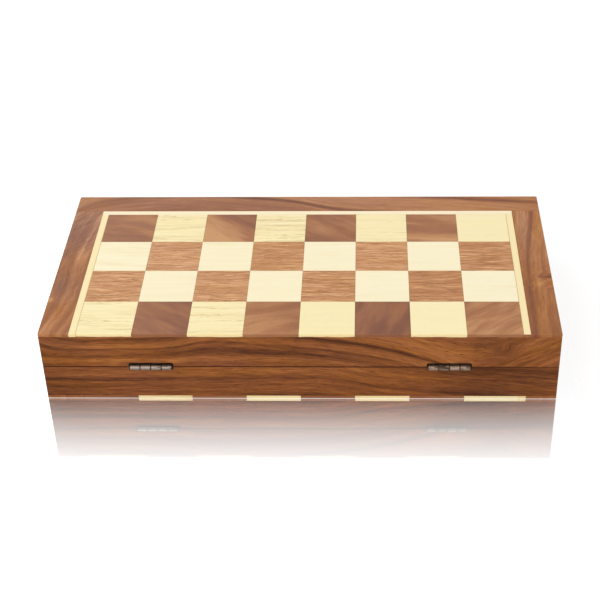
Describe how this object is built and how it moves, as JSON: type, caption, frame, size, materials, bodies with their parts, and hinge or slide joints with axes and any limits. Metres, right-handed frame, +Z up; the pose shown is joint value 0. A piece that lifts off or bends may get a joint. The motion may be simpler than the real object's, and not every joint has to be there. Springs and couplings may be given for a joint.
{
  "type": "folding chess board",
  "caption": "Inlaid wooden chess board in two hinged trays, which folds shut into a flat box that stores the chess men.",
  "frame": {"origin": "centre of the underside of the shut box, on the surface that it stands on", "axes": "+X along the hinges, from rank 1 to rank 8; +Y from the hinges to the edge that opens; +Z up"},
  "size_m": [0.3048, 0.1547, 0.048],
  "materials": {
    "sheesham": "dark rosewood, straight and swirling grain, clear satin lacquer",
    "maple": "pale maple, fine grain, clear satin lacquer",
    "plywood": "bare birch plywood",
    "felt": "green wool felt",
    "hinge_steel": "plain steel sheet, lightly tarnished",
    "screw_steel": "zinc-plated steel",
    "magnet_nickel": "nickel plate"
  },
  "bodies": {
    "lower_half": {"file_e_dark_squares": "sheesham", "file_e_light_squares": "maple", "file_f_dark_squares": "sheesham", "file_f_light_squares": "maple", "file_g_dark_squares": "sheesham", "file_g_light_squares": "maple", "file_h_dark_squares": "sheesham", "file_h_light_squares": "maple", "left_hinge_lower_leaf": "hinge_steel", "left_hinge_lower_screws": "screw_steel", "left_hinge_pin": "hinge_steel", "lower_hinge_rail": "sheesham", "lower_left_border": "sheesham", "lower_left_inlay": "maple", "lower_left_rail": "sheesham", "lower_lining": "felt", "lower_magnets": "magnet_nickel", "lower_opening_border": "sheesham", "lower_opening_inlay": "maple", "lower_opening_rail": "sheesham", "lower_panel": "plywood", "lower_right_border": "sheesham", "lower_right_inlay": "maple", "lower_right_rail": "sheesham", "right_hinge_lower_leaf": "hinge_steel", "right_hinge_lower_screws": "screw_steel", "right_hinge_pin": "hinge_steel"},
    "upper_half": {"file_a_dark_squares": "sheesham", "file_a_light_squares": "maple", "file_b_dark_squares": "sheesham", "file_b_light_squares": "maple", "file_c_dark_squares": "sheesham", "file_c_light_squares": "maple", "file_d_dark_squares": "sheesham", "file_d_light_squares": "maple", "left_hinge_upper_leaf": "hinge_steel", "left_hinge_upper_screws": "screw_steel", "right_hinge_upper_leaf": "hinge_steel", "right_hinge_upper_screws": "screw_steel", "upper_hinge_rail": "sheesham", "upper_left_border": "sheesham", "upper_left_inlay": "maple", "upper_left_rail": "sheesham", "upper_lining": "felt", "upper_magnets": "magnet_nickel", "upper_opening_border": "sheesham", "upper_opening_inlay": "maple", "upper_opening_rail": "sheesham", "upper_panel": "plywood", "upper_right_border": "sheesham", "upper_right_inlay": "maple", "upper_right_rail": "sheesham"}
  },
  "joints": [
    {"name": "fold", "type": "hinge", "parent": "lower_half", "child": "upper_half", "pos_m": [0, -0.0769, 0.024], "axis": [1, 0, 0], "range_deg": [0, 180]}
  ]
}
